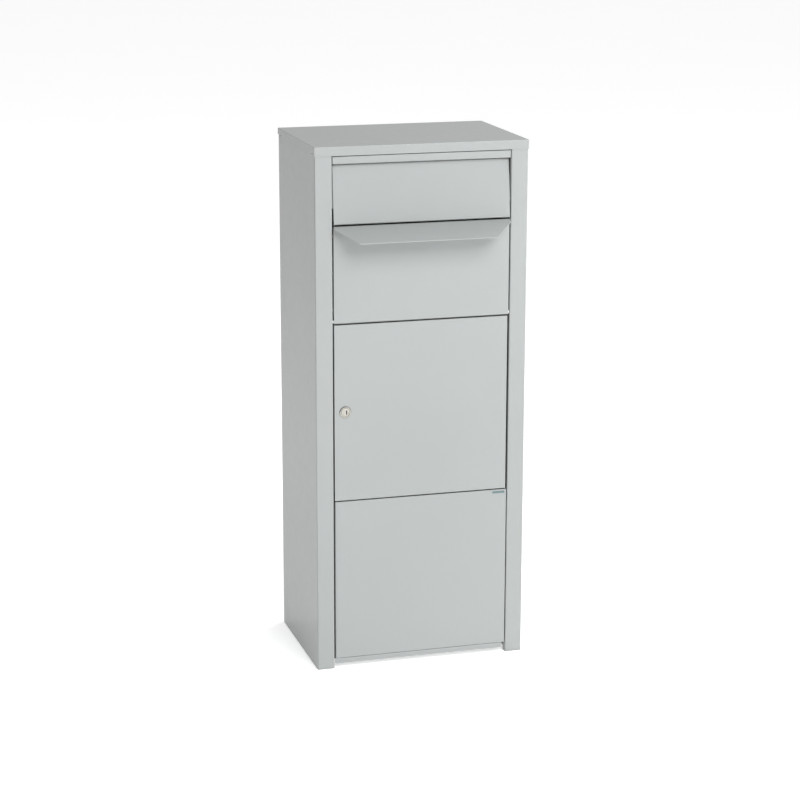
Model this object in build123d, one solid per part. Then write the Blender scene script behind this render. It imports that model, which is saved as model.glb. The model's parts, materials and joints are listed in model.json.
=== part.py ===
from build123d import *
from math import acos, atan2, cos, degrees, hypot, radians, sin, sqrt, tan
import os

os.makedirs("parts", exist_ok=True)

# Free-standing parcel drop box in folded sheet steel.  Millimetres, +Z up, +Y towards the back.
# The origin is the middle of the base of the whole object's box, which takes in the handle lip.

# ---------------------------------------------------------------- driving dimensions
body_width = 408.0
body_depth = 286.0
body_height = 1000.0
sheet = 1.5
inner_bend = 0.8

pillar_width = 33.0
jamb_depth = 16.0
jamb_lip = 12.0
rear_return = 22.0
foot_flange = 25.0

cap_sheet = 1.2
cap_front_flange = 17.0
cap_side_flange = 12.0
cap_slot_length = 7.0
cap_slot_height = 2.2
cap_slot_inset = 16.0

kick_bottom = 9.0
kick_height = 10.5
kick_step = 0.7
kick_setback = 0.6

header_height = 14.6
header_leaf = 14.0
header_hem = 7.0
header_tab_start = 4.0

apron_height = 110.0
apron_recess = 8.0
apron_proud = 3.0
apron_leaf = 12.0
apron_hem = 10.0
apron_bracket_leaf = 22.0
apron_bracket_edge = 5.0
apron_bracket_span = (0.28, 0.72)
apron_rivet_span = (0.38, 0.62)
apron_rivet_depth = 7.0

hatch_height = 183.7
hatch_bottom_bend = 1.5
hatch_bottom_leaf = 9.0
hatch_return = 14.0
hatch_return_relief = 11.0
hatch_return_top = 5.0
hatch_leaf_relief = 3.0
hatch_open_angle = 50.0
hinge_setback = 5.5
hinge_rise = 4.4
lip_reach = 49.0
lip_drop = 26.5
lip_straight = 8.6
lip_taper_width = 37.5
lip_taper_depth = 40.4

tray_angle = 40.0
tray_length = 213.0
tray_rise = 15.0
tray_front_flange = 20.0
tray_side_flange = 12.0
cheek_sheet = 2.0
cheek_top_angle = 34.0
cheek_skirt = 3.0
cheek_corner = 2.1
tray_side_start = 16.0
tray_side_cover = 2.0
guard_angle = 22.0
guard_flange = 34.0
guard_hem = 10.0
guard_hem_slope = 0.3
guard_clearance = 6.0
guard_tip_angle = 12.0
guard_side_gap = 2.0
guard_rivet_span = 0.8
guard_rivet_rise = 0.6

door_height = 336.8
door_return = 14.0
door_hinge_return = 12.0
door_relief = 18.0
pivot_inset = 7.5
pivot_setback = 7.0
pivot_radius = 2.5
bracket_sheet = 3.0
bracket_leaf_sheet = 2.0
bracket_drop = 12.0
bracket_arm = 8.5
bracket_leaf_height = 27.0
tongue_radius = 4.5
bracket_left = 9.0
bracket_lip_gap = 0.6
washer_inset = 0.3
stiffener_width = 44.0
stiffener_flange = 12.0
stiffener_depth = 10.0
stiffener_margin = 12.0

rail_height = 27.0
rail_leaf = 20.0
stop_reach = 12.0
stop_margin = 6.0
buffer_inset = 3.0
buffer_half_width = 4.0
buffer_half_height = 7.0

lock_inset = 20.7
lock_height_on_door = 171.0
lock_flange_radius = 11.0
lock_flange_height = 2.4
lock_groove_radius = 8.6
lock_groove_width = 0.8
lock_groove_depth = 0.7
lock_body_radius = 9.5
lock_body_length = 16.8
plug_radius = 6.2
keyway_length = 7.6
keyway_width = 2.0
keyway_offset = 2.0
keyway_depth = 6.0
nut_across_flats = 24.0
nut_height = 4.0
cam_sheet = 2.5
cam_width = 16.0
cam_reach = 34.0
cam_square = 8.0
cam_gap = 0.1
cam_screw_radius = 2.0
cam_screw_length = 7.0
cam_screw_head_radius = 6.5
cam_screw_head_height = 2.2
plug_recess = 0.4
strike_height = 30.0
strike_sheet = 1.0

hatch_pin_radius = 2.0
hatch_pin_head_radius = 3.2
pin_head_radius = 4.0
pin_head_height = 1.5
bush_radius = 3.4
stud_radius = 4.0
stud_inset = 26.0
stop_place = 112.0
stop_pad_radius = 6.0
stop_pad_height = 6.0
stop_shelf_length = 30.0
stop_leg = 22.0
stop_sheet = 2.0
stop_shelf_margin = 2.0
stud_shank_share = 0.6
stud_head_height = 1.5
stud_lip_share = 0.7
pin_tail = 2.5
pin_clip_height = 1.4

rivet_radius = 1.6
rivet_head_radius = 3.0
rivet_head_height = 0.9
back_rivet_margin = 60.0
back_rivet_edge = 9.0
lip_rivet_edge = 7.0
header_rivet_depth = 9.5
hatch_rivet_depth = 8.5
wall_hole_radius = 5.0
wall_hole_spacing_x = 260.0
wall_hole_spacing_z = 600.0
wall_hole_middle_z = 520.0
anchor_hole_radius = 5.5
anchor_spacing_x = 240.0
anchor_spacing_y = 170.0
label_width = 24.0
label_height = 4.2
label_sheet = 0.4
label_inset = 3.0
label_corner = 0.8

# clearances
reveal = 2.2
hinge_reveal = 3.6
header_gap = 1.0
kick_gap = 1.8
kick_notch = 7.5
lower_right_reveal = 1.2
root_gap = 1.2
lay_gap = 0.05
cap_gap = 0.1
free_gap = 0.3
running_gap = 0.05
seat_gap = 0.02
floor_gap = 0.6
pan_gap = 0.4
lip_gap = 1.0

# ---------------------------------------------------------------- derived places
half_body = body_width / 2
front = -(body_depth - lip_reach) / 2
back = front + body_depth
opening = half_body - pillar_width
panel_half = opening - reveal
door_right = opening - hinge_reveal
wall_inside = half_body - sheet
back_inside = back - 2 * sheet - lay_gap
jamb_rear = front + jamb_depth

cap_bottom = body_height - cap_front_flange
side_top = body_height - cap_sheet - cap_gap
header_top = cap_bottom - header_gap
header_bottom = header_top - header_height
apron_top = header_bottom - header_gap
apron_bottom = apron_top - apron_height
hatch_top = apron_bottom - root_gap
hatch_bottom = hatch_top - hatch_height
door_top = hatch_bottom - reveal
door_bottom = door_top - door_height
lower_top = door_bottom - reveal
kick_top = kick_bottom + kick_height
lower_bottom = kick_top + header_gap

hinge_y = front + hinge_setback
hinge_z = hatch_bottom + hinge_rise
hatch_skin = front + sheet + free_gap
cheek_inner = panel_half - sheet - cheek_sheet
cheek_outer = panel_half - sheet
cheek_radius = hatch_height - 6.5
stud_distance = cheek_radius - stud_inset

tray_dy = cos(radians(tray_angle))
tray_dz = -sin(radians(tray_angle))
tray_y = hatch_skin
tray_z = hatch_bottom + tray_rise
tray_half = cheek_inner - free_gap

pivot_x = door_right - pivot_inset
pivot_y = front + pivot_setback
lock_x = -panel_half + lock_inset
lock_z = door_bottom + lock_height_on_door
leaf_y = jamb_rear + lay_gap
rail_y = leaf_y + bracket_leaf_sheet + lay_gap
lip_rivet_x = opening + lip_rivet_edge
tongue_top = door_top - bracket_drop
rail_top = tongue_top - bracket_sheet - free_gap


# ---------------------------------------------------------------- shape helpers
def block(x0, x1, y0, y1, z0, z1):
    """A box between two corners."""
    size = Box(abs(x1 - x0), abs(y1 - y0), abs(z1 - z0))
    return Pos((x0 + x1) / 2, (y0 + y1) / 2, (z0 + z1) / 2) * size


def rod(start, direction, radius, length):
    """A round bar from a start point along a direction."""
    lift = Pos(0, 0, length / 2)
    return Plane(origin=start, z_dir=direction) * lift * Cylinder(radius, length)


def folded(path, gauge, side, bends=None):
    """A folded sheet's section.  The path is one skin, and the sheet is to its left (1) or right (-1)."""
    last = len(path) - 1
    bends = bends or [inner_bend] * (last - 1)
    unit = []
    for (x0, y0), (x1, y1) in zip(path, path[1:]):
        run = hypot(x1 - x0, y1 - y0)
        unit.append(((x1 - x0) / run, (y1 - y0) / run))
    skin, other, radii, other_radii = [], [], [], []
    for i, (x, y) in enumerate(path):
        ax, ay = unit[max(i - 1, 0)]
        bx, by = unit[min(i, last - 1)]
        nx, ny = -(ay + by) * side, (ax + bx) * side
        scale = gauge / (1 + ax * bx + ay * by)
        skin.append((x, y))
        other.append((x + nx * scale, y + ny * scale))
        if i in (0, last):
            radii.append(0)
            other_radii.append(0)
            continue
        turn = (ax * by - ay * bx) * side
        small, large = bends[i - 1], bends[i - 1] + gauge
        radii.append(large if turn > 0 else small)
        other_radii.append(small if turn > 0 else large)
    outline = skin + other[::-1]
    return make_face(FilletPolyline(*outline, radius=radii + other_radii[::-1], close=True))


def along_z(face, z0, z1):
    """A plan section drawn up from z0 to z1."""
    return Pos(0, 0, z0) * extrude(face, z1 - z0, dir=(0, 0, 1))


def along_x(face, x0, x1):
    """A side section in Y and Z drawn from x0 to x1."""
    return extrude(Plane.YZ.offset(x0) * face, x1 - x0, dir=(1, 0, 0))


def side_face(points):
    """A straight-sided outline in Y and Z."""
    return make_face(Polyline(*points, close=True))


def rivet(start, direction, grip):
    """A set rivet whose grip starts at a point and runs along a direction."""
    shank = Pos(0, 0, grip / 2) * Cylinder(rivet_radius, grip + rivet_head_height)
    head = Cylinder(rivet_head_radius, rivet_head_height)
    head = chamfer(head.edges().group_by(Axis.Z)[-1], rivet_head_height * 0.5)
    far = Pos(0, 0, grip + rivet_head_height / 2) * head
    near = Pos(0, 0, -rivet_head_height / 2) * Rot(180, 0, 0) * head
    return Plane(origin=start, z_dir=direction) * (shank + far + near)


def rivet_hole(start, direction, grip):
    """The hole that a rivet passes through, a little longer than its grip."""
    over = 1.0
    origin = tuple(s - d * over for s, d in zip(start, direction))
    return rod(origin, direction, rivet_radius + seat_gap, grip + 2 * over)


def mirrored(shape):
    """The same piece on the other side of the box."""
    return mirror(shape, about=Plane.YZ)


def spread(low, high, count):
    """Evenly spaced values from low to high."""
    return [low + (high - low) * i / (count - 1) for i in range(count)]


def tray_point(along, above=0.0):
    """A point at a distance along the tray from its fold, and above its underside."""
    return (
        tray_y + along * tray_dy - above * tray_dz,
        tray_z + along * tray_dz + above * tray_dy,
    )


def save(name, shape):
    """Write one node, one solid or a group of separate solids."""
    solids = shape if isinstance(shape, list) else [shape]
    solids = [s for part in solids for s in part.solids()]
    export_step(solids[0] if len(solids) == 1 else Compound(children=solids), f"parts/{name}.step")


# ---------------------------------------------------------------- fastener places
back_rivet_z = spread(back_rivet_margin, body_height - back_rivet_margin, 6)
back_rivet_x = half_body - rear_return + back_rivet_edge
cap_rivet_z = body_height - cap_side_flange / 2
header_rivet = (front + header_rivet_depth, (header_top + header_bottom) / 2)
apron_slope = atan2(apron_recess + apron_proud, apron_height)
apron_bracket_low, apron_bracket_high = [apron_height * share for share in apron_bracket_span]
apron_rivet_run = [apron_height * share for share in apron_rivet_span]
hatch_rivet_y = front + hatch_rivet_depth
hatch_rivet_z = spread(hatch_bottom + 26.0, hatch_top - 20.0, 3)
tray_rivet_run = [60.0, 130.0, 195.0]
lower_rivet_z = spread(lower_bottom + 20.0, lower_top - 20.0, 3)
rail_rivet_z = [rail_top - 6.0, rail_top - rail_height + 7.0]
low_leaf_bottom = door_bottom + bracket_drop + bracket_sheet
low_rivet_z = [low_leaf_bottom + 7.0, low_leaf_bottom + bracket_leaf_height - 6.0]
strike_rivet_z = [lock_z - strike_height / 2 + 5.0, lock_z + strike_height / 2 - 5.0]
guard_half = back_rivet_x - rivet_head_radius - guard_side_gap
guard_rivet_x = spread(-guard_half * guard_rivet_span, guard_half * guard_rivet_span, 4)
guard_swing = hypot(*(p - a for p, a in zip(tray_point(tray_length), (hinge_y, hinge_z))))
guard_radius = guard_swing + guard_clearance
guard_y = hinge_y + guard_radius * cos(radians(guard_tip_angle))
guard_z = hinge_z + guard_radius * sin(radians(guard_tip_angle))
guard_back_y = back_inside - lay_gap
guard_back_z = guard_z + (guard_back_y - guard_y) * tan(radians(guard_angle))
guard_rivet_z = guard_back_z + guard_flange * guard_rivet_rise


def lip_rivet_places(side):
    """Heights of the rivets in the jamb's rear lip on one side."""
    places = lower_rivet_z + rail_rivet_z + low_rivet_z
    return places + (strike_rivet_z if side < 0 else [])


# ---------------------------------------------------------------- cabinet
def apron_rivet_at(run):
    """A rivet's place beside the apron, given its height up the slope."""
    y = front - apron_proud + run * sin(apron_slope) + apron_rivet_depth
    return y, apron_bottom + run * cos(apron_slope)


def side_panel(side):
    skin = [
        (half_body - rear_return, back),
        (half_body, back),
        (half_body, front),
        (opening, front),
        (opening, jamb_rear),
        (opening + jamb_lip, jamb_rear),
    ]
    panel = along_z(folded(skin, sheet, -1), 0, side_top)
    wall = sheet / 2
    x0, x1 = half_body - foot_flange, half_body - wall
    panel += block(x0, x1, jamb_rear + lip_gap, back - sheet - lip_gap, 0, sheet)
    # a web across the hollow pillar, level with the base pan
    panel += block(opening + wall, x1, front + wall, jamb_rear - wall, kick_top - sheet, kick_top)
    for z in back_rivet_z:
        panel -= rivet_hole((back_rivet_x, back - sheet, z), (0, 1, 0), sheet)
    panel -= rivet_hole((back_rivet_x, back - sheet, cap_rivet_z), (0, 1, 0), sheet)
    for z in lip_rivet_places(side):
        panel -= rivet_hole((lip_rivet_x, jamb_rear - sheet, z), (0, 1, 0), sheet)
    for y, z in [header_rivet] + [apron_rivet_at(run) for run in apron_rivet_run]:
        panel -= rivet_hole((opening, y, z), (1, 0, 0), sheet)
    panel -= rod((opening - 1, hinge_y, hinge_z), (1, 0, 0), hatch_pin_radius + seat_gap, sheet + 2)
    slot_z = body_height - cap_side_flange - cap_slot_height
    for y in (front + cap_slot_inset, back - cap_slot_inset):
        y0, y1 = y - cap_slot_length / 2, y + cap_slot_length / 2
        panel -= block(wall_inside - 1, half_body + 1, y0, y1, slot_z, slot_z + cap_slot_height)
    return panel if side > 0 else mirrored(panel)


def back_panel():
    half = wall_inside - inner_bend - lay_gap
    panel = block(-half, half, back_inside, back_inside + sheet, sheet + floor_gap, side_top - floor_gap)
    for x in (-back_rivet_x, back_rivet_x):
        for z in back_rivet_z:
            panel -= rivet_hole((x, back_inside, z), (0, 1, 0), sheet)
    for x in guard_rivet_x:
        panel -= rivet_hole((x, back_inside, guard_rivet_z), (0, 1, 0), sheet)
    for x in (-wall_hole_spacing_x / 2, wall_hole_spacing_x / 2):
        for dz in (-wall_hole_spacing_z / 2, wall_hole_spacing_z / 2):
            start = (x, back_inside - 1, wall_hole_middle_z + dz)
            panel -= rod(start, (0, 1, 0), wall_hole_radius, sheet + 2)
    clear = rivet_head_radius + lip_gap
    for x in (-back_rivet_x, back_rivet_x):
        panel -= rod((x, back_inside - 1, cap_rivet_z), (0, 1, 0), clear, sheet + 2)
    return panel


def base_pan():
    half = wall_inside - pan_gap
    rear = back_inside - pan_gap
    x0, x1 = kick_gap - opening, opening - kick_notch
    kick_y = front + kick_setback
    y0 = jamb_rear + lip_gap
    low = sheet + cap_gap
    pan = block(-half, half, y0, rear, kick_top - sheet, kick_top)
    pan += block(x0, x1, kick_y, y0 + 1, kick_top - sheet, kick_top)
    middle = kick_bottom + kick_height / 2
    pan += block(x0, x1, kick_y, kick_y + sheet, middle, kick_top)
    kick_y += kick_step
    pan += block(x0, x1, kick_y, kick_y + sheet, kick_bottom, middle + 1)
    for x in (-half, half - sheet):
        pan += block(x, x + sheet, y0, rear, low, kick_top)
    pan += block(-half, half, rear - sheet, rear, low, kick_top)
    middle_y = (front + back) / 2
    for x in (-anchor_spacing_x / 2, anchor_spacing_x / 2):
        for dy in (-anchor_spacing_y / 2, anchor_spacing_y / 2):
            pan -= rod((x, middle_y + dy, kick_top - sheet - 1), (0, 0, 1), anchor_hole_radius, sheet + 2)
    return pan


def top_cap():
    inside = half_body + cap_gap
    out = inside + cap_sheet
    y0 = front - cap_gap
    y1 = back + cap_gap
    body = block(-out, out, y0 - cap_sheet, y1 + cap_sheet, body_height - cap_front_flange, body_height)
    body = fillet(body.edges().filter_by(Axis.Z), inner_bend + cap_sheet)
    body = fillet(body.faces().sort_by(Axis.Z)[-1].edges(), inner_bend)
    hollow = block(-inside, inside, y0, y1, 0, body_height - cap_sheet)
    hollow = fillet(hollow.edges().filter_by(Axis.Z), inner_bend)
    cap = body - hollow
    side_edge = body_height - cap_side_flange
    cap -= block(-out - 1, out + 1, y0 + 2 * sheet, y1 + cap_sheet + 1, 0, side_edge)
    for x in (-back_rivet_x, back_rivet_x):
        cap -= rivet_hole((x, y1, cap_rivet_z), (0, 1, 0), cap_sheet)
    return cap


def header_rail():
    half = opening - header_gap
    skin = [
        (front + header_leaf, header_top),
        (front, header_top),
        (front, header_bottom),
        (front + header_hem, header_bottom),
    ]
    rail = along_x(folded(skin, sheet, 1), -half, half)
    tab_x = opening - lay_gap
    z0 = header_bottom + sheet / 2
    z1 = header_top - sheet / 2
    for x0, x1 in ((tab_x - sheet, tab_x), (-tab_x, sheet - tab_x)):
        rail += block(x0, x1, front + header_tab_start, front + header_leaf, z0, z1)
    for start, way in (((tab_x - sheet, *header_rivet), 1), ((-tab_x + sheet, *header_rivet), -1)):
        rail -= rivet_hole(start, (way, 0, 0), sheet)
    return rail


def apron_panel():
    top_y = front + apron_recess
    low_y = front - apron_proud
    skin = [
        (top_y + apron_leaf, apron_top),
        (top_y, apron_top),
        (low_y, apron_bottom),
        (low_y + apron_hem, apron_bottom),
    ]
    return along_x(folded(skin, sheet, 1), -panel_half, panel_half)


def apron_bracket():
    outer = opening - lay_gap
    inset = sheet + lay_gap
    edge = apron_rivet_depth + apron_bracket_edge
    skin = [(outer - apron_bracket_leaf, inset), (outer, inset), (outer, edge)]
    leaf = folded(skin, sheet, 1)
    bracket = along_z(leaf, apron_bracket_low, apron_bracket_high)
    bracket = Pos(0, front - apron_proud, apron_bottom) * Rot(-degrees(apron_slope), 0, 0) * bracket
    for run in apron_rivet_run:
        y, z = apron_rivet_at(run)
        bracket -= rivet_hole((outer - sheet, y, z), (1, 0, 0), sheet)
    return bracket


def lower_front_panel():
    tab = opening + jamb_lip - lip_gap
    right = opening - lower_right_reveal
    skin = [
        (-tab, leaf_y),
        (-panel_half, leaf_y),
        (-panel_half, front),
        (right, front),
        (right, leaf_y),
        (tab, leaf_y),
    ]
    panel = along_z(folded(skin, sheet, 1), lower_bottom, lower_top)
    reach = front + door_return
    x0, x1 = sheet / 2 - panel_half, right - sheet / 2
    for z0 in (lower_bottom, lower_top - sheet):
        panel += block(x0, x1, front + sheet / 2, reach, z0, z0 + sheet)
    for x in (-lip_rivet_x, lip_rivet_x):
        for z in lower_rivet_z:
            panel -= rivet_hole((x, leaf_y, z), (0, 1, 0), sheet)
    return panel


def mid_rail():
    half = opening + jamb_lip + lip_gap
    bottom = rail_top - rail_height
    skin = [(rail_y, rail_top), (rail_y, bottom), (rail_y + rail_leaf, bottom)]
    rail = along_x(folded(skin, sheet, 1), -half, half)
    for x in (-lip_rivet_x, lip_rivet_x):
        for z in rail_rivet_z:
            rail -= rivet_hole((x, rail_y, z), (0, 1, 0), sheet)
    return rail


def hinge_bracket(upper):
    """A tongue that carries the door pivot, and a leaf behind the jamb lip."""
    tongue = Circle(tongue_radius)
    right = opening + jamb_lip - pivot_x
    left = -bracket_left
    clear = pivot_inset * 0.2
    past = leaf_y + bracket_leaf_sheet - pivot_y
    rear = past + bracket_arm
    tongue += make_face(Polyline((left, 0), (clear, 0), (clear, rear), (left, rear), close=True))
    tongue += make_face(Polyline((left, past), (right, past), (right, rear), (left, rear), close=True))
    lip_side = opening + bracket_lip_gap - pivot_x
    lip_face = leaf_y - pivot_y
    tongue += make_face(
        Polyline((lip_side, lip_face), (right, lip_face), (right, rear), (lip_side, rear), close=True)
    )
    tongue -= Circle(pivot_radius + seat_gap)
    low = tongue_top - bracket_sheet if upper else door_bottom + bracket_drop
    plate = along_z(Pos(pivot_x, pivot_y) * tongue, low, low + bracket_sheet)
    if upper:
        z0, z1 = rail_top - rail_height, low + sheet
    else:
        z0, z1 = low + sheet, low + bracket_sheet + bracket_leaf_height
    x0, x1 = pivot_x + lip_side, pivot_x + right
    plate += block(x0, x1, leaf_y, leaf_y + bracket_leaf_sheet, z0, z1)
    for z in rail_rivet_z if upper else low_rivet_z:
        plate -= rivet_hole((lip_rivet_x, leaf_y, z), (0, 1, 0), bracket_leaf_sheet)
    return plate


def door_pin(upper):
    """A headed pivot pin, seated in its bracket and running in the door's return."""
    head = pin_head_height
    if upper:
        start, way = tongue_top - bracket_sheet - head, 1
        length = door_top - free_gap - start
    else:
        start, way = door_bottom + bracket_drop + bracket_sheet + head, -1
        length = start - door_bottom - free_gap
    at = (pivot_x, pivot_y, start)
    return rod(at, (0, 0, way), pivot_radius, length) + rod(at, (0, 0, way), pin_head_radius, head)


def door_washer(upper):
    height = bracket_drop - sheet
    z0 = tongue_top if upper else door_bottom + sheet
    at = (pivot_x, pivot_y, z0 + (0 if upper else seat_gap))
    height -= seat_gap
    ring = rod(at, (0, 0, 1), tongue_radius - washer_inset, height)
    return ring - rod(at, (0, 0, 1), pivot_radius + running_gap, height)


def stop_plate(z_values):
    """A plate behind the left jamb lip that the closing door meets through a pad."""
    low, high = min(z_values) - stop_margin, max(z_values) + stop_margin
    x0 = -opening - jamb_lip
    plate = block(x0, -opening + stop_reach, leaf_y, leaf_y + bracket_leaf_sheet, low, high)
    for z in z_values:
        plate -= rivet_hole((-lip_rivet_x, leaf_y, z), (0, 1, 0), bracket_leaf_sheet)
    return plate


def stop_pad(z_values):
    """A rubber pad on a stop plate, just behind the door's return."""
    middle = sum(z_values) / len(z_values)
    x0 = -panel_half + buffer_inset - buffer_half_width
    x1 = x0 + 2 * buffer_half_width
    y0 = front + door_return + free_gap
    return block(x0, x1, y0, leaf_y, middle - buffer_half_height, middle + buffer_half_height)


def strike_plate():
    plate = block(
        -opening - jamb_lip,
        -opening,
        leaf_y,
        leaf_y + strike_sheet,
        lock_z - strike_height / 2,
        lock_z + strike_height / 2,
    )
    for z in strike_rivet_z:
        plate -= rivet_hole((-lip_rivet_x, leaf_y, z), (0, 1, 0), strike_sheet)
    return plate


def guard():
    skin = [
        (guard_back_y, guard_back_z + guard_flange),
        (guard_back_y, guard_back_z),
        (guard_y, guard_z),
        (guard_y + guard_hem * guard_hem_slope, guard_z - guard_hem),
    ]
    plate = along_x(folded(skin, sheet, -1), -guard_half, guard_half)
    for x in guard_rivet_x:
        plate -= rivet_hole((x, guard_back_y - sheet, guard_rivet_z), (0, 1, 0), sheet)
    return plate


def on_tray(x0, x1, run0, run1, above0, above1):
    """A block laid out along the tray's slope, on either side of its underside."""
    corners = (run0, above0), (run1, above0), (run1, above1), (run0, above1)
    return along_x(side_face([tray_point(run, above) for run, above in corners]), x0, x1)


def hatch_stop_bracket():
    top = -cheek_skirt - free_gap - stop_pad_height
    run0, run1 = stop_place - stop_shelf_length / 2, stop_place + stop_shelf_length / 2
    wall = wall_inside - lay_gap
    inward = (cheek_inner + cheek_outer) / 2 - stop_pad_radius - stop_shelf_margin
    shelf = on_tray(inward, wall, run0, run1, top - stop_sheet, top)
    return shelf + on_tray(wall - stop_sheet, wall, run0, run1, top - stop_leg, top)


def hatch_stop_pad():
    top = -cheek_skirt - free_gap
    y, z = tray_point(stop_place, top)
    x = (cheek_inner + cheek_outer) / 2
    pad = rod((x, y, z), (0, tray_dz, -tray_dy), stop_pad_radius, stop_pad_height)
    return pad


def hatch_pin():
    """A headed pin from inside the cheek, through it, the bush and the jamb."""
    start = cheek_inner - free_gap - pin_head_height
    end = opening + sheet + pin_tail
    at = (start, hinge_y, hinge_z)
    pin = rod(at, (1, 0, 0), hatch_pin_radius, end - start)
    pin += rod(at, (1, 0, 0), hatch_pin_head_radius, pin_head_height)
    clip = (opening + sheet + seat_gap, hinge_y, hinge_z)
    return pin + rod(clip, (1, 0, 0), hatch_pin_head_radius, pin_clip_height)


def hatch_bush():
    x0 = cheek_outer + free_gap / 2
    length = opening - seat_gap - x0
    at = (x0, hinge_y, hinge_z)
    return rod(at, (1, 0, 0), bush_radius, length) - rod(at, (1, 0, 0), hatch_pin_radius + seat_gap, length)


def label_plate():
    x1 = panel_half - label_inset
    z1 = lower_top - label_inset
    plate = block(x1 - label_width, x1, front - label_sheet, front, z1 - label_height, z1)
    return fillet(plate.edges().filter_by(Axis.Y), label_corner)


# ---------------------------------------------------------------- hatch
def hatch_panel():
    inside = front + sheet
    skin = [
        (front - lip_reach, hatch_top - lip_drop),
        (inside, hatch_top),
        (inside, hatch_bottom + sheet),
        (front + hatch_bottom_leaf, hatch_bottom + sheet),
    ]
    section = folded(skin, sheet, -1, [inner_bend, hatch_bottom_bend])
    panel = along_x(section, -panel_half, panel_half)
    over = 5.0
    far = front - lip_reach - over
    tip = panel_half - lip_taper_width
    side = panel_half + over
    taper_y = front - lip_straight
    corner = [
        (panel_half, taper_y),
        (tip, taper_y - lip_taper_depth),
        (tip, far),
        (side, far),
        (side, taper_y),
    ]
    cut = along_z(make_face(Polyline(*corner, close=True)), hatch_top - 2 * lip_drop, hatch_top + over)
    panel -= cut
    panel -= mirrored(cut)
    relief_x = cheek_inner - hatch_leaf_relief
    relief_y = front + 2 * sheet + seat_gap
    leaf_end = block(relief_x, side, relief_y, jamb_rear, hatch_bottom - over, hinge_z)
    panel -= leaf_end
    panel -= mirrored(leaf_end)
    z0, z1 = hatch_bottom + hatch_return_relief, hatch_top - hatch_return_top
    for x0 in (-panel_half, panel_half - sheet):
        panel += block(x0, x0 + sheet, front + sheet / 2, front + hatch_return, z0, z1)
    for start, way in ((cheek_outer, 1), (-cheek_outer, -1)):
        for z in hatch_rivet_z:
            panel -= rivet_hole((start, hatch_rivet_y, z), (way, 0, 0), sheet)
    return panel


def hatch_cheek(side):
    """The side of the hopper: a plate from the hatch round to the tray, with its pivot eye."""
    set_in = hinge_y - hatch_skin
    top = (hatch_skin, hinge_z + sqrt(cheek_radius**2 - set_in**2))
    start = degrees(atan2(top[1] - hinge_z, -set_in))
    low = radians(cheek_top_angle)
    shoulder = (hinge_y + cheek_radius * cos(low), hinge_z + cheek_radius * sin(low))
    halfway = radians((start + cheek_top_angle) / 2)
    crown = (hinge_y + cheek_radius * cos(halfway), hinge_z + cheek_radius * sin(halfway))
    bottom = hatch_bottom + free_gap
    nose = front + sheet + cheek_corner
    heel = tray_point((tray_z - bottom - cheek_skirt * tray_dy) / -tray_dz, -cheek_skirt)
    edges = [
        Polyline((nose, bottom), (hatch_skin, hinge_z - free_gap), top),
        ThreePointArc(top, crown, shoulder),
        Polyline(
            shoulder,
            tray_point(tray_length, tray_side_flange + tray_side_cover),
            tray_point(tray_length, -cheek_skirt),
            heel,
            (nose, bottom),
        ),
    ]
    cheek = along_x(make_face(edges), cheek_inner, cheek_outer)
    eye = hatch_pin_radius + running_gap
    cheek -= rod((cheek_inner - 1, hinge_y, hinge_z), (1, 0, 0), eye, cheek_sheet + 2)
    for z in hatch_rivet_z:
        cheek -= rivet_hole((cheek_inner, hatch_rivet_y, z), (1, 0, 0), cheek_sheet)
    for run in tray_rivet_run:
        y, z = tray_point(run, tray_side_flange / 2 + sheet / 2)
        cheek -= rivet_hole((cheek_inner, y, z), (1, 0, 0), cheek_sheet)
    y, z = stud_place()
    shank = stud_radius * stud_shank_share + seat_gap
    cheek -= rod((cheek_inner - 1, y, z), (1, 0, 0), shank, cheek_sheet + 2)
    return cheek if side > 0 else mirrored(cheek)


def stud_place():
    """Where the open-stop stud sits at rest, to meet the jamb's rear face when the hatch is open."""
    ahead = jamb_rear + stud_radius + free_gap - hinge_y
    angle = acos(ahead / stud_distance) - radians(hatch_open_angle)
    return hinge_y + stud_distance * cos(angle), hinge_z + stud_distance * sin(angle)


def open_stop_stud():
    y, z = stud_place()
    outside = opening + jamb_lip * stud_lip_share
    head_x = cheek_inner - seat_gap - stud_head_height
    shank = stud_radius * stud_shank_share
    stud = rod((head_x, y, z), (1, 0, 0), shank, outside - head_x)
    stud += rod((cheek_outer + seat_gap, y, z), (1, 0, 0), stud_radius, outside - cheek_outer)
    return stud + rod((head_x, y, z), (1, 0, 0), stud_radius, stud_head_height)


def hopper_tray():
    skin = [(tray_y, tray_z + tray_front_flange), (tray_y, tray_z), tray_point(tray_length)]
    tray = along_x(folded(skin, sheet, 1), -tray_half, tray_half)
    for x0 in (-tray_half, tray_half - sheet):
        tray += on_tray(x0, x0 + sheet, tray_side_start, tray_length, sheet / 2, sheet + tray_side_flange)
    for run in tray_rivet_run:
        y, z = tray_point(run, tray_side_flange / 2 + sheet / 2)
        for start, way in ((tray_half - sheet, 1), (sheet - tray_half, -1)):
            tray -= rivet_hole((start, y, z), (way, 0, 0), sheet)
    return tray


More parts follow.
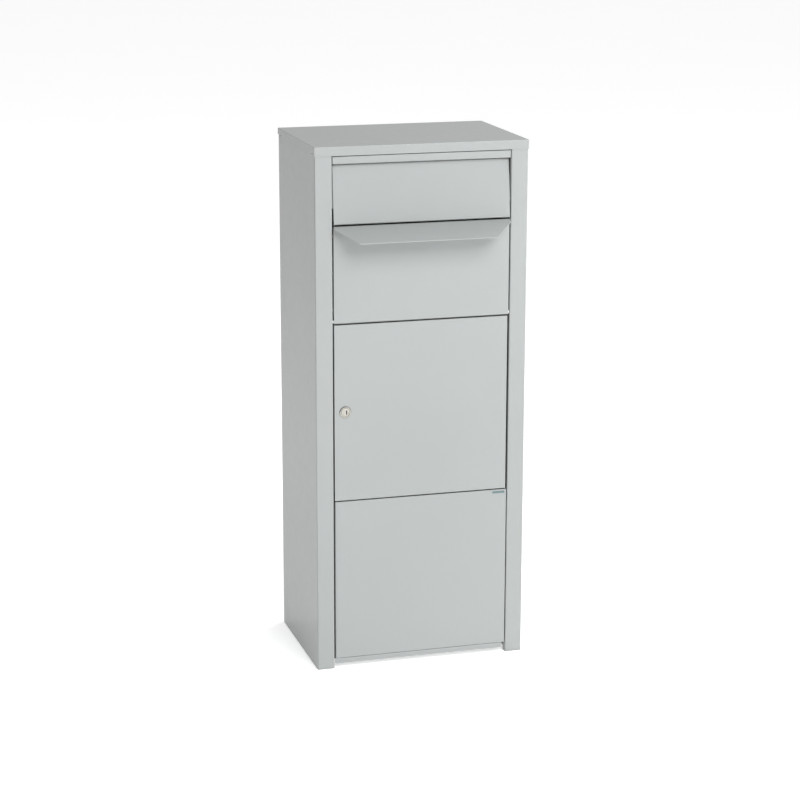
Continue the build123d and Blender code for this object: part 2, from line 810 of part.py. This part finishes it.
# ---------------------------------------------------------------- door and lock
def door_panel():
    x0, x1 = -panel_half, door_right
    z0, z1 = door_bottom, door_top
    deep = front + door_return
    outer = block(x0, x1, front, deep, z0, z1)
    outer = fillet(outer.edges().filter_by(Axis.Y) + outer.faces().sort_by(Axis.Y)[0].edges(), inner_bend)
    door = outer - block(x0 + sheet, x1 - sheet, front + sheet, deep + 1, z0 + sheet, z1 - sheet)
    over = 1.0
    door -= block(x1 - sheet, x1 + over, front + door_hinge_return, deep + over, z0 + sheet, z1 - sheet)
    for low, high in ((z0 + sheet, z0 + door_relief), (z1 - door_relief, z1 - sheet)):
        door -= block(x1 - sheet - over, x1 + over, front + sheet, deep + over, low, high)
    for z in (z0, z1 - sheet):
        door -= rod((pivot_x, pivot_y, z - over), (0, 0, 1), pivot_radius + running_gap, sheet + 2 * over)
    door -= rod((lock_x, front - over, lock_z), (0, 1, 0), lock_body_radius + running_gap, sheet + 2 * over)
    return door


def door_stiffener():
    """A hat section down the middle of the door, welded to its inside."""
    y0 = front + sheet + lay_gap
    y1 = y0 + stiffener_depth
    half = stiffener_width / 2
    foot = stiffener_flange
    skin = [(-half, y0 + sheet), (foot - half, y0 + sheet), (foot - half, y1), (half - foot, y1)]
    skin += [(half - foot, y0 + sheet), (half, y0 + sheet)]
    margin = sheet + stiffener_margin
    return along_z(folded(skin, sheet, -1), door_bottom + margin, door_top - margin)


def lock_housing():
    body = rod((lock_x, front, lock_z), (0, 1, 0), lock_body_radius, lock_body_length)
    flange = rod((lock_x, front, lock_z), (0, -1, 0), lock_flange_radius, lock_flange_height)
    flange = chamfer(flange.edges().group_by(Axis.Y)[0], lock_flange_height * 0.5)
    bore = plug_radius + running_gap
    hole = rod((lock_x, front - lock_flange_height - 1, lock_z), (0, 1, 0), bore, lock_body_length + 8)
    face = (lock_x, front - lock_flange_height, lock_z)
    groove = rod(face, (0, 1, 0), lock_groove_radius, lock_groove_depth)
    groove -= rod(face, (0, 1, 0), lock_groove_radius - lock_groove_width, lock_groove_depth)
    return body + flange - hole - groove


def lock_nut():
    y0 = front + sheet + lay_gap
    outline = RegularPolygon(nut_across_flats / 2, 6, major_radius=False)
    outline -= Circle(lock_body_radius + seat_gap)
    face = Plane(origin=(lock_x, y0, lock_z), z_dir=(0, 1, 0)) * outline
    return extrude(face, nut_height, dir=(0, 1, 0))


def lock_plug():
    y0 = front - lock_flange_height + plug_recess
    y1 = front + lock_body_length + plug_recess
    plug = rod((lock_x, y0, lock_z), (0, 1, 0), plug_radius, y1 - y0)
    half = cam_square / 2
    plug += block(lock_x - half, lock_x + half, y1, y1 + cam_sheet, lock_z - half, lock_z + half)
    keyway_x = lock_x + keyway_offset
    plug -= block(
        keyway_x - keyway_width / 2,
        keyway_x + keyway_width / 2,
        y0 - 1,
        y0 + keyway_depth,
        lock_z - keyway_length / 2,
        lock_z + keyway_length / 2,
    )
    hole = cam_screw_length + cam_gap + 1.0
    hole_start = (lock_x, y1 + cam_sheet - hole + 1.0, lock_z)
    return plug - rod(hole_start, (0, 1, 0), cam_screw_radius + seat_gap, hole)


def lock_cam():
    """The locking cam, hanging clear of the strike when the lock is open."""
    y0 = front + lock_body_length + plug_recess + cam_gap
    half = cam_width / 2
    tip = lock_z - cam_reach
    cam = block(lock_x - half, lock_x + half, y0, y0 + cam_sheet, tip, lock_z + half)
    cam = fillet(cam.edges().filter_by(Axis.Y), half * 0.6)
    hole = cam_square / 2 + seat_gap
    socket = block(-hole, hole, y0 - 1, y0 + cam_sheet + 1, -hole, hole)
    return cam - Pos(lock_x, 0, lock_z) * socket


def cam_screw():
    y0 = front + lock_body_length + plug_recess + cam_gap + cam_sheet + seat_gap
    head = rod((lock_x, y0, lock_z), (0, 1, 0), cam_screw_head_radius, cam_screw_head_height)
    head = chamfer(head.edges().group_by(Axis.Y)[-1], cam_screw_head_height / 3)
    return head + rod((lock_x, y0, lock_z), (0, -1, 0), cam_screw_radius, cam_screw_length)


# ---------------------------------------------------------------- rivet groups
def both_sides(make, x):
    """Two rivets set outwards from the left and the right."""
    return [make(x, 1), make(-x, -1)]


def back_rivets():
    grip = 2 * sheet + lay_gap
    return [
        rivet((x, back_inside, z), (0, 1, 0), grip)
        for x in (-back_rivet_x, back_rivet_x)
        for z in back_rivet_z
    ]


def cap_rivets():
    grip = sheet + cap_gap + cap_sheet
    return [rivet((x, back - sheet, cap_rivet_z), (0, 1, 0), grip) for x in (-back_rivet_x, back_rivet_x)]


def jamb_rivets():
    """Rivets from the header's tabs and the apron's brackets into the jambs."""
    grip = 2 * sheet + lay_gap
    start = opening - lay_gap - sheet
    places = [header_rivet] + [apron_rivet_at(run) for run in apron_rivet_run]
    group = []
    for y, z in places:
        group += both_sides(lambda x, way: rivet((x, y, z), (way, 0, 0), grip), start)
    return group


def lip_rivets():
    """Rivets through the jambs' rear lips and what is fixed behind them."""
    y0 = jamb_rear - sheet
    group = []
    for x in (-lip_rivet_x, lip_rivet_x):
        for z in lower_rivet_z:
            group.append(rivet((x, y0, z), (0, 1, 0), 2 * sheet + lay_gap))
        for z in rail_rivet_z:
            group.append(rivet((x, y0, z), (0, 1, 0), 2 * sheet + 2 * lay_gap + bracket_leaf_sheet))
        for z in low_rivet_z:
            group.append(rivet((x, y0, z), (0, 1, 0), sheet + lay_gap + bracket_leaf_sheet))
    return group


def strike_rivets():
    grip = sheet + lay_gap + strike_sheet
    return [countersunk(z, grip) for z in strike_rivet_z]


def countersunk(z, grip):
    """A rivet with no rear head, so that the cam passes over it."""
    start = (-lip_rivet_x, jamb_rear - sheet, z)
    head = rod(start, (0, -1, 0), rivet_head_radius, rivet_head_height)
    return head + rod(start, (0, 1, 0), rivet_radius, grip)


def guard_rivets():
    y, grip = guard_back_y - sheet, 2 * sheet + lay_gap
    return [rivet((x, y, guard_rivet_z), (0, 1, 0), grip) for x in guard_rivet_x]


def cheek_rivets():
    group = []
    for z in hatch_rivet_z:
        at = (hatch_rivet_y, z)
        group += both_sides(lambda x, way: rivet((x, *at), (way, 0, 0), sheet + cheek_sheet), cheek_inner)
    return group


def tray_rivets():
    group = []
    grip = sheet + free_gap + cheek_sheet
    for run in tray_rivet_run:
        at = tray_point(run, tray_side_flange / 2 + sheet / 2)
        group += both_sides(lambda x, way: rivet((x, *at), (way, 0, 0), grip), tray_half - sheet)
    return group


# ---------------------------------------------------------------- nodes
nodes = {
    "side_panel_left": side_panel(-1),
    "side_panel_right": side_panel(1),
    "back_panel": back_panel(),
    "base_pan": base_pan(),
    "top_cap": top_cap(),
    "header_rail": header_rail(),
    "apron_panel": apron_panel(),
    "apron_bracket_right": apron_bracket(),
    "apron_bracket_left": mirrored(apron_bracket()),
    "lower_front_panel": lower_front_panel(),
    "mid_rail": mid_rail(),
    "hinge_bracket_upper": hinge_bracket(True),
    "hinge_bracket_lower": hinge_bracket(False),
    "door_pin_upper": door_pin(True),
    "door_pin_lower": door_pin(False),
    "door_washer_upper": door_washer(True),
    "door_washer_lower": door_washer(False),
    "door_stop_upper": stop_plate(rail_rivet_z),
    "door_stop_lower": stop_plate(low_rivet_z),
    "door_buffers": [stop_pad(rail_rivet_z), stop_pad(low_rivet_z)],
    "strike_plate": strike_plate(),
    "hopper_guard": guard(),
    "hatch_stop_bracket_right": hatch_stop_bracket(),
    "hatch_stop_bracket_left": mirrored(hatch_stop_bracket()),
    "hatch_buffers": [hatch_stop_pad(), mirrored(hatch_stop_pad())],
    "hatch_pin_right": hatch_pin(),
    "hatch_pin_left": mirrored(hatch_pin()),
    "hatch_bush_right": hatch_bush(),
    "hatch_bush_left": mirrored(hatch_bush()),
    "label_plate": label_plate(),
    "back_rivets": back_rivets(),
    "cap_rivets": cap_rivets(),
    "jamb_rivets": jamb_rivets(),
    "lip_rivets": lip_rivets(),
    "strike_rivets": strike_rivets(),
    "guard_rivets": guard_rivets(),
    "hatch_panel": hatch_panel(),
    "hatch_cheek_right": hatch_cheek(1),
    "hatch_cheek_left": hatch_cheek(-1),
    "hopper_tray": hopper_tray(),
    "open_stop_right": open_stop_stud(),
    "open_stop_left": mirrored(open_stop_stud()),
    "cheek_rivets": cheek_rivets(),
    "tray_rivets": tray_rivets(),
    "door_panel": door_panel(),
    "door_stiffener": door_stiffener(),
    "lock_housing": lock_housing(),
    "lock_nut": lock_nut(),
    "lock_plug": lock_plug(),
    "lock_cam": lock_cam(),
    "cam_screw": cam_screw(),
}

for name, shape in nodes.items():
    save(name, shape)

print(f"hatch hinge at y {hinge_y:.3f}, z {hinge_z:.3f}")
print(f"door pivot at x {pivot_x:.3f}, y {pivot_y:.3f}")
print(f"lock axis at x {lock_x:.3f}, z {lock_z:.3f}")
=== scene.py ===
import json
import math

import bpy
from mathutils import Matrix, Vector

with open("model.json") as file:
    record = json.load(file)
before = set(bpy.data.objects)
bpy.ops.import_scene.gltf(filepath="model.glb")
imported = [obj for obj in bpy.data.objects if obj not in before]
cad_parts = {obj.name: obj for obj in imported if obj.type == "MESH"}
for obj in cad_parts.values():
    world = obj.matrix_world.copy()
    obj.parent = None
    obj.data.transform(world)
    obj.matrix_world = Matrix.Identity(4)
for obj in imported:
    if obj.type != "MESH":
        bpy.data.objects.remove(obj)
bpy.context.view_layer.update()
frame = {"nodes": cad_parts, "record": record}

# Everything is in metres, in the CAD frame: +X right, +Y to the back, +Z up.
nodes = frame["nodes"]
MM = 0.001

# ---------------------------------------------------------------- camera and stage
CAMERA_AT = (-1.1941, -4.1401, 1.5711)
CAMERA_YAW = 15.981  # turned from +Y towards +X
CAMERA_PITCH = 14.104  # below the horizon
CAMERA_ROLL = 0.095
LENS = 103.76
SENSOR = 36.0

# ---------------------------------------------------------------- light
ROOM_LEFT = 0.27  # how bright the surroundings are to the left
ROOM_RIGHT = 0.63  # and to the right
FLOOR_REACH = 60.0
FLOOR_GLOW = 0.52
BODY_MIDDLE = (0, 0, 0.55)
PANEL_MIDDLE = (0, 0, 0.48)
CAP_MIDDLE = (0.1, 0, 1.0)
COOL_WHITE = (0.97, 1.0, 1.0)

# ---------------------------------------------------------------- edges
SHEET_EDGE = 0.25 * MM
SMALL_EDGE = 0.12 * MM
WELD_DISTANCE = 0.002 * MM
EDGE_SEGMENTS = 2
EDGE_ANGLE = math.radians(40)

# ---------------------------------------------------------------- how far the shading looks for metal, for painted shade in corners and hollows and for lighter edges
CORNER_REACH = 10.0 * MM
EDGE_REACH = 1.0 * MM
HOLLOW_REACH = 4.0 * MM

# ---------------------------------------------------------------- textures, in cycles per metre
MOTTLE = 3.2
WAVE = 2.6
ORANGE_PEEL = 420.0
COAT_GRAIN = 1400.0
GLOSS_PATCH = 60.0
PLATE_CLOUD = 55.0
PLATE_LINES = 900.0
TURNED_RINGS = 5200.0
NICKEL_CLOUD = 160.0


def make_camera():
    data = bpy.data.cameras.new("camera")
    data.lens = LENS
    data.sensor_width = SENSOR
    data.dof.use_dof = False
    cam = bpy.data.objects.new("camera", data)
    bpy.context.scene.collection.objects.link(cam)
    turn = Matrix.Rotation(math.radians(-CAMERA_YAW), 4, "Z")
    tilt = Matrix.Rotation(math.radians(90 - CAMERA_PITCH), 4, "X")
    roll = Matrix.Rotation(math.radians(CAMERA_ROLL), 4, "Z")
    cam.matrix_world = Matrix.Translation(CAMERA_AT) @ turn @ tilt @ roll
    bpy.context.scene.camera = cam


def area_light(name, at, aim, width, height, power, colour=(1, 1, 1)):
    data = bpy.data.lights.new(name, "AREA")
    data.shape = "RECTANGLE"
    data.size = width
    data.size_y = height
    data.energy = power
    data.color = colour
    lamp = bpy.data.objects.new(name, data)
    bpy.context.scene.collection.objects.link(lamp)
    lamp.location = at
    lamp.visible_camera = False
    lamp.rotation_mode = "QUATERNION"
    lamp.rotation_quaternion = (Vector(aim) - Vector(at)).to_track_quat("-Z", "Y")


def make_room():
    """White surroundings, dimmer to the left than to the right."""
    world = bpy.data.worlds.new("studio")
    world.use_nodes = True
    bpy.context.scene.world = world
    tree = world.node_tree
    place = tree.nodes.new("ShaderNodeTexCoord")
    split = tree.nodes.new("ShaderNodeSeparateXYZ")
    ramp = tree.nodes.new("ShaderNodeMapRange")
    ramp.inputs["From Min"].default_value = -1.0
    ramp.inputs["From Max"].default_value = 1.0
    ramp.inputs["To Min"].default_value = ROOM_LEFT
    ramp.inputs["To Max"].default_value = ROOM_RIGHT
    tree.links.new(place.outputs["Generated"], split.inputs[0])
    tree.links.new(split.outputs["X"], ramp.inputs["Value"])
    tree.links.new(ramp.outputs[0], tree.nodes["Background"].inputs["Strength"])
    tree.nodes["Background"].inputs["Color"].default_value = (1, 1, 1, 1)


def make_floor():
    corners = [(-1, -1), (1, -1), (1, 1), (-1, 1)]
    mesh = bpy.data.meshes.new("floor")
    mesh.from_pydata([(FLOOR_REACH * x, FLOOR_REACH * y, 0) for x, y in corners], [], [(0, 1, 2, 3)])
    floor = bpy.data.objects.new("floor", mesh)
    bpy.context.scene.collection.objects.link(floor)
    floor.data.materials.append(floor_paint())


def make_stage():
    scene = bpy.context.scene
    scene.view_settings.view_transform = "Standard"
    scene.view_settings.look = "None"
    scene.view_settings.exposure = 0.0
    scene.view_settings.gamma = 1.0
    make_room()
    make_floor()
    area_light("high_softbox", (1.4, -4.6, 4.5), BODY_MIDDLE, 4.0, 3.2, power=345, colour=COOL_WHITE)
    area_light("right_softbox", (3.0, -4.0, 0.48), PANEL_MIDDLE, 2.6, 0.9, power=55, colour=COOL_WHITE)
    area_light("top_softbox", (1.1, 0.6, 3.0), CAP_MIDDLE, 1.2, 1.2, power=30)


# ---------------------------------------------------------------- shader helpers
class Shader:
    """A material's node tree, built by adding and wiring nodes."""

    # A mix node's colour sockets, by place, because its other types share their names.
    MIX_A = 6
    MIX_B = 7
    MIX_RESULT = 2

    def __init__(self, name):
        self.material = bpy.data.materials.new(name)
        self.material.use_nodes = True
        self.tree = self.material.node_tree
        self.tree.nodes.clear()
        self.out = self.tree.nodes.new("ShaderNodeOutputMaterial")
        self.surface = self.add("ShaderNodeBsdfPrincipled")
        self.join(self.surface.outputs[0], self.out.inputs["Surface"])
        self.place = self.add("ShaderNodeTexCoord").outputs["Object"]

    def add(self, kind, **settings):
        made = self.tree.nodes.new(kind)
        for key, value in settings.items():
            setattr(made, key, value)
        return made

    def join(self, source, target):
        self.tree.links.new(source, target)

    def set(self, socket, value):
        self.surface.inputs[socket].default_value = value

    def feed(self, socket, source):
        self.join(source, self.surface.inputs[socket])

    def stretched(self, scale):
        """The object's coordinates scaled along each axis."""
        mapping = self.add("ShaderNodeMapping")
        mapping.inputs["Scale"].default_value = scale
        self.join(self.place, mapping.inputs["Vector"])
        return mapping.outputs[0]

    def noise(self, scale, detail=2.0, roughness=0.5, place=None):
        made = self.add("ShaderNodeTexNoise")
        made.inputs["Scale"].default_value = scale
        made.inputs["Detail"].default_value = detail
        made.inputs["Roughness"].default_value = roughness
        self.join(place or self.place, made.inputs["Vector"])
        return made.outputs["Fac"]

    def between(self, source, low, high, start=0.0, end=1.0):
        """A value from low to high as the source goes from start to end."""
        made = self.add("ShaderNodeMapRange")
        made.inputs["From Min"].default_value = start
        made.inputs["From Max"].default_value = end
        made.inputs["To Min"].default_value = low
        made.inputs["To Max"].default_value = high
        self.join(source, made.inputs["Value"])
        return made.outputs[0]

    def blend(self, factor, colour_a, colour_b):
        """A colour between two. The factor may be a number or a wired output, and each colour likewise."""
        made = self.add("ShaderNodeMix", data_type="RGBA")
        if isinstance(factor, float):
            made.inputs["Factor"].default_value = factor
        else:
            self.join(factor, made.inputs["Factor"])
        for socket, colour in ((self.MIX_A, colour_a), (self.MIX_B, colour_b)):
            if isinstance(colour, tuple):
                made.inputs[socket].default_value = (*colour, 1)
            else:
                self.join(colour, made.inputs[socket])
        return made.outputs[self.MIX_RESULT]

    def bump(self, height, strength, distance, under=None):
        made = self.add("ShaderNodeBump")
        made.inputs["Strength"].default_value = strength
        made.inputs["Distance"].default_value = distance
        self.join(height, made.inputs["Height"])
        if under is not None:
            self.join(under, made.inputs["Normal"])
        return made.outputs[0]


def joint_at(name):
    """Where a joint's axis passes, from the record."""
    joints = frame["record"]["behaviour"]["joints"]
    return tuple(next(j["pos_m"] for j in joints if j["name"] == name))


def shade(colour, factor):
    return tuple(c * factor for c in colour)


# ---------------------------------------------------------------- materials
COAT_GREY = (0.288, 0.297, 0.295)


def floor_paint():
    """Near-white paint that glows a little, so that it stays white and shows hardly any shadow."""
    s = Shader("floor_paint")
    grain = s.noise(2.0, 1.0)
    s.feed("Base Color", s.blend(grain, (0.93, 0.93, 0.93), (0.95, 0.95, 0.95)))
    s.set("Roughness", 0.7)
    s.set("Specular IOR Level", 0.2)
    s.set("Emission Color", (1, 1, 1, 1))
    s.set("Emission Strength", FLOOR_GLOW)
    return s.material


def cut_edges(s, reach):
    """1 along a sheet's edges and 0 away from them, from how little of its metal lies close beneath."""
    inside = s.add("ShaderNodeAmbientOcclusion", samples=6, inside=True, only_local=True)
    inside.inputs["Distance"].default_value = reach
    return s.between(inside.outputs["AO"], 1.0, 0.0, 0.45, 0.95)


def powder_coat(name, grey, sheen):
    """Semi-gloss powder coat: fine orange peel and faint mottle on a slightly wavy sheet, with painted
    shade in corners and recesses and lighter cut edges that are partly painted highlight.
    """
    s = Shader(name)
    cloud = s.noise(MOTTLE, 2.0, 0.5)
    grain = s.noise(COAT_GRAIN, 2.0, 0.6)
    tone = s.blend(s.between(cloud, 0.0, 1.0, 0.3, 0.7), shade(grey, 0.97), shade(grey, 1.03))
    speck = s.blend(s.between(grain, 0.0, 1.0, 0.35, 0.65), shade(grey, 0.93), shade(grey, 1.06))
    mixed = s.blend(0.3, tone, speck)
    # Painted shade: the coat darkens towards three quarters of its grey in corners and recesses, where
    # little light reaches.
    corner = s.add("ShaderNodeAmbientOcclusion", samples=6)
    corner.inputs["Distance"].default_value = CORNER_REACH
    painted_corner_shade = s.between(corner.outputs["AO"], 1.0, 0.0, 0.2, 0.8)
    coat_with_painted_shade = s.blend(painted_corner_shade, mixed, shade(grey, 0.75))
    # Lighter along the cut edges: partly a painted highlight, partly the thinner paint there.
    edge_highlight_and_thin_paint = s.between(cut_edges(s, EDGE_REACH), 0.0, 0.5)
    s.feed("Base Color", s.blend(edge_highlight_and_thin_paint, coat_with_painted_shade, shade(grey, 1.25)))
    s.feed("Roughness", s.between(s.noise(GLOSS_PATCH, 3.0), sheen - 0.02, sheen + 0.02, 0.3, 0.7))
    s.set("Specular IOR Level", 0.4)
    s.set("Coat Weight", 0.08)
    s.set("Coat Roughness", 0.18)
    wavy = s.bump(s.noise(WAVE, 1.0, 0.3), 0.35, 0.004)
    peel = s.bump(s.noise(ORANGE_PEEL, 1.0, 0.4), 0.11, 0.0002, wavy)
    s.feed("Normal", s.bump(grain, 0.12, 0.00006, peel))
    return s.material


def plated(name, light, dark, sheen, streak=(1.0, 1.0, 1.0)):
    """Bright plating with a faint cloudy tone and fine drawn lines."""
    s = Shader(name)
    cloud = s.noise(PLATE_CLOUD, 3.0, 0.6)
    s.feed("Base Color", s.blend(s.between(cloud, 0.0, 1.0, 0.3, 0.7), light, dark))
    s.set("Metallic", 1.0)
    lines = s.noise(PLATE_LINES, 2.0, 0.5, s.stretched(streak))
    s.feed("Roughness", s.between(lines, sheen - 0.06, sheen + 0.08, 0.3, 0.7))
    s.feed("Normal", s.bump(lines, 0.15, 0.00004))
    return s.material


def turned_nickel(axis_at):
    """Nickel plate on a turned lock: rings about its axis, darker where fingers and keys have dulled it,
    and painted shade, nearly black, in its hollows.
    """
    s = Shader("turned_nickel")
    off = s.add("ShaderNodeVectorMath", operation="SUBTRACT")
    off.inputs[1].default_value = axis_at
    s.join(s.place, off.inputs[0])
    flat = s.add("ShaderNodeVectorMath", operation="MULTIPLY")
    flat.inputs[1].default_value = (1.0, 0.0, 1.0)
    s.join(off.outputs[0], flat.inputs[0])
    radius = s.add("ShaderNodeVectorMath", operation="LENGTH")
    s.join(flat.outputs[0], radius.inputs[0])
    line = s.add("ShaderNodeCombineXYZ")
    s.join(radius.outputs["Value"], line.inputs["X"])
    rings = s.noise(TURNED_RINGS, 2.0, 0.5, line.outputs[0])
    cloud = s.noise(NICKEL_CLOUD, 3.0, 0.6)
    tint = s.blend(s.between(rings, 0.0, 1.0, 0.3, 0.7), (0.50, 0.48, 0.43), (0.34, 0.33, 0.30))
    worn = s.blend(s.between(cloud, 0.0, 0.5, 0.45, 0.75), tint, (0.24, 0.23, 0.21))
    # Painted shade: the plating goes nearly black in the lock's hollows, such as the keyway, where little
    # light gets in.
    hollow = s.add("ShaderNodeAmbientOcclusion", samples=8)
    hollow.inputs["Distance"].default_value = HOLLOW_REACH
    painted_hollow_shade = s.between(hollow.outputs["AO"], 1.0, 0.0, 0.40, 0.95)
    s.feed("Base Color", s.blend(painted_hollow_shade, worn, (0.02, 0.02, 0.02)))
    s.set("Metallic", 1.0)
    s.feed("Roughness", s.between(rings, 0.22, 0.38, 0.3, 0.7))
    s.feed("Normal", s.bump(rings, 0.25, 0.00005))
    return s.material


def rubber():
    s = Shader("black_rubber")
    mottle = s.noise(300.0, 3.0)
    s.feed("Base Color", s.blend(mottle, (0.012, 0.012, 0.013), (0.03, 0.03, 0.031)))
    s.feed("Roughness", s.between(mottle, 0.65, 0.85))
    s.feed("Normal", s.bump(mottle, 0.3, 0.0001))
    return s.material


def nylon():
    s = Shader("natural_nylon")
    mottle = s.noise(160.0, 2.0)
    s.feed("Base Color", s.blend(mottle, (0.74, 0.72, 0.65), (0.80, 0.79, 0.73)))
    s.feed("Roughness", s.between(mottle, 0.38, 0.5))
    s.set("Subsurface Weight", 0.15)
    s.set("Subsurface Scale", 0.001)
    s.feed("Normal", s.bump(s.noise(900.0, 2.0), 0.1, 0.00005))
    return s.material


def label_lacquer():
    """The blank plate's satin lacquer, with no lettering."""
    s = Shader("label_lacquer")
    flecks = s.noise(1500.0, 2.0)
    s.feed("Base Color", s.blend(flecks, (0.085, 0.135, 0.145), (0.115, 0.165, 0.175)))
    s.feed("Roughness", s.between(flecks, 0.3, 0.42))
    s.set("Metallic", 0.2)
    s.feed("Normal", s.bump(flecks, 0.1, 0.00003))
    return s.material


def make_materials():
    return {
        "powder_coat": powder_coat("grey_powder_coat", COAT_GREY, 0.36),
        "powder_coat_inner": powder_coat("inner_powder_coat", shade(COAT_GREY, 0.94), 0.42),
        "zinc_plate": plated("zinc_plate", (0.60, 0.62, 0.63), (0.50, 0.51, 0.50), 0.34, (1.0, 1.0, 0.06)),
        "rivet_aluminium": plated("rivet_aluminium", (0.66, 0.67, 0.67), (0.55, 0.56, 0.56), 0.38),
        "nickel_plate": turned_nickel(joint_at("lock_turn")),
        "rubber": rubber(),
        "nylon": nylon(),
        "label_blank": label_lacquer(),
    }


def dress_nodes(materials):
    """Every CAD node takes the finish that its slot in the record names."""
    for entry in frame["record"]["subparts"]:
        thing = nodes[entry["node"]]
        thing.data.materials.clear()
        thing.data.materials.append(materials[entry["material_slot"]])


def soften(node, width):
    """Rounds a node's cut edges as thick paint or tumbling does."""
    thing = nodes[node]
    weld = thing.modifiers.new("weld", "WELD")
    weld.merge_threshold = WELD_DISTANCE
    bevel = thing.modifiers.new("bevel", "BEVEL")
    bevel.width = width
    bevel.segments = EDGE_SEGMENTS
    bevel.limit_method = "ANGLE"
    bevel.angle_limit = EDGE_ANGLE
    bevel.harden_normals = True


def soften_cut_edges():
    """Paint rounds the sheets' cut edges, and tumbling rounds the small steel parts."""
    for entry in frame["record"]["subparts"]:
        slot = entry["material_slot"]
        if slot.startswith("powder_coat"):
            soften(entry["node"], SHEET_EDGE)
        elif slot in ("zinc_plate", "label_blank"):
            soften(entry["node"], SMALL_EDGE)


make_camera()
make_stage()
materials = make_materials()
dress_nodes(materials)
soften_cut_edges()
